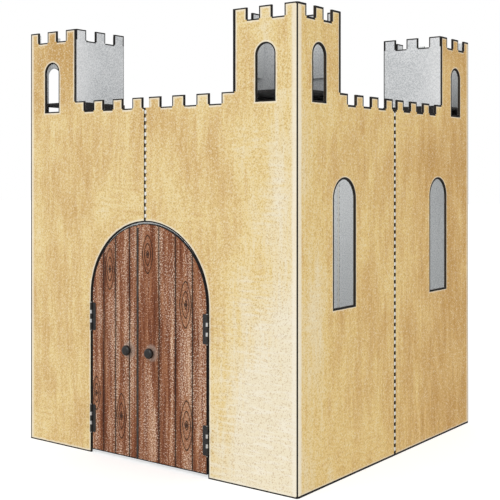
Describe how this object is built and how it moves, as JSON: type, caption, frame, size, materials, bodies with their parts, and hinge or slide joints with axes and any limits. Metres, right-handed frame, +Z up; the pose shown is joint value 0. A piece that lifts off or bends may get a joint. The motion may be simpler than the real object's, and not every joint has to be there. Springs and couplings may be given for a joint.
{
  "type": "cardboard play castle",
  "caption": "Square play castle of folded corrugated card with corner towers, notched battlements, tall windows and an arched double door.",
  "frame": {"origin": "on the ground under the middle of the square plan of the walls", "axes": "+Z up, -Y out of the front wall with the doors, +X to the right seen from the front"},
  "size_m": [1.223, 1.2455, 1.522],
  "materials": {
    "wall_card": "kraft card with crayon strokes",
    "grey_card": "grey lined card",
    "floor_card": "dark lined card",
    "door_card": "brown coloured card with planks drawn on",
    "white_tape": "woven cotton tape",
    "grey_strip": "grey card strip",
    "black_metal": "black painted steel",
    "tan_metal": "tan painted steel",
    "bright_metal": "zinc plated steel",
    "black_plastic": "black turned knob"
  },
  "bodies": {
    "castle": {"front_left_sheet": "wall_card", "front_left_tower_floor": "floor_card", "front_left_tower_panel": "grey_card", "front_right_sheet": "wall_card", "front_right_tower_floor": "floor_card", "front_right_tower_panel": "grey_card", "front_seam_lacing": "white_tape", "left_jamb_rivets": "tan_metal", "left_lower_hinge_strap": "bright_metal", "left_seam_lacing": "white_tape", "left_upper_hinge_strap": "bright_metal", "rear_left_sheet": "wall_card", "rear_right_sheet": "wall_card", "rear_right_tower_floor": "floor_card", "rear_right_tower_panel": "grey_card", "rear_seam_lacing": "white_tape", "right_jamb_rivets": "tan_metal", "right_lower_hinge_strap": "bright_metal", "right_seam_lacing": "white_tape", "right_upper_hinge_strap": "bright_metal"},
    "door_left": {"left_door": "door_card", "left_door_rivets": "black_metal", "left_knob": "black_plastic", "left_knob_screw": "bright_metal", "left_knob_washer": "bright_metal", "left_lower_hinge_pin": "bright_metal", "left_lower_hinge_plate": "black_metal", "left_upper_hinge_pin": "bright_metal", "left_upper_hinge_plate": "black_metal"},
    "door_right": {"door_meeting_strip": "grey_strip", "right_door": "door_card", "right_door_rivets": "black_metal", "right_knob": "black_plastic", "right_knob_screw": "bright_metal", "right_knob_washer": "bright_metal", "right_lower_hinge_pin": "bright_metal", "right_lower_hinge_plate": "black_metal", "right_upper_hinge_pin": "bright_metal", "right_upper_hinge_plate": "black_metal"}
  },
  "joints": [
    {"name": "left_door_hinge", "type": "hinge", "parent": "castle", "child": "door_left", "pos_m": [-0.2795, -0.614, 0], "axis": [0, 0, -1], "range_deg": [0, 150]},
    {"name": "right_door_hinge", "type": "hinge", "parent": "castle", "child": "door_right", "pos_m": [0.2555, -0.614, 0], "axis": [0, 0, 1], "range_deg": [0, 150]}
  ]
}
